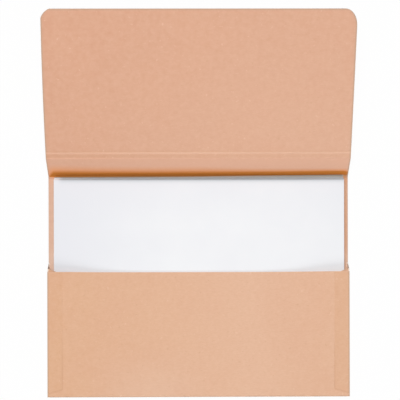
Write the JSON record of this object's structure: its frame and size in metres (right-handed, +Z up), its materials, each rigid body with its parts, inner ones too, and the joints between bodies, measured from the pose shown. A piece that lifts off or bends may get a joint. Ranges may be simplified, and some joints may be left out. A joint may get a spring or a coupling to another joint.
{
  "type": "file pocket",
  "caption": "Card file pocket for A4 sheets: a glued pocket with a long creased flap that folds over its mouth, holding loose paper",
  "frame": {"origin": "centre of the back panel's outer face, on the surface that it lies on", "axes": "+X across the pocket, +Y from the base fold to the hinge crease and the flap, +Z up from the back panel"},
  "size_m": [0.3083, 0.3861, 0.0764],
  "materials": {
    "card": "uncoated pinkish buff card with a fine fibre",
    "crease": "the same card, pressed into a raised crease",
    "paper": "plain white office paper",
    "glue": "dried paper adhesive"
  },
  "bodies": {
    "pocket": {"back_panel": "card", "base_wall": "card", "front_panel": "card", "left_side_wall": "card", "right_side_wall": "card", "left_glue_tab": "card", "right_glue_tab": "card", "left_glue_line": "glue", "right_glue_line": "glue", "hinge_crease": "crease"},
    "spine": {"spine_panel": "card", "lower_score": "crease"},
    "band": {"score_band": "card", "upper_score": "crease"},
    "flap": {"flap_panel": "card"},
    "papers": {"paper_sheets": "paper"}
  },
  "joints": [
    {"name": "hinge_fold", "type": "hinge", "parent": "pocket", "child": "spine", "pos_m": [0, 0.1125, 0.00035], "axis": [1, 0, 0], "range_deg": [-25, 37]},
    {"name": "lower_score_fold", "type": "hinge", "parent": "spine", "child": "band", "pos_m": [0, 0.13013, 0.02375], "axis": [1, 0, 0], "range_deg": [0, 65]},
    {"name": "upper_score_fold", "type": "hinge", "parent": "band", "child": "flap", "pos_m": [0, 0.1358, 0.02627], "axis": [1, 0, 0], "range_deg": [0, 65]},
    {"name": "paper_slide", "type": "slide", "parent": "pocket", "child": "papers", "axis": [0, -1, 0], "range_m": [0, 0.0103]}
  ],
  "couplings": [
    {"joint": "upper_score_fold", "follows": "lower_score_fold", "ratio": 1}
  ]
}
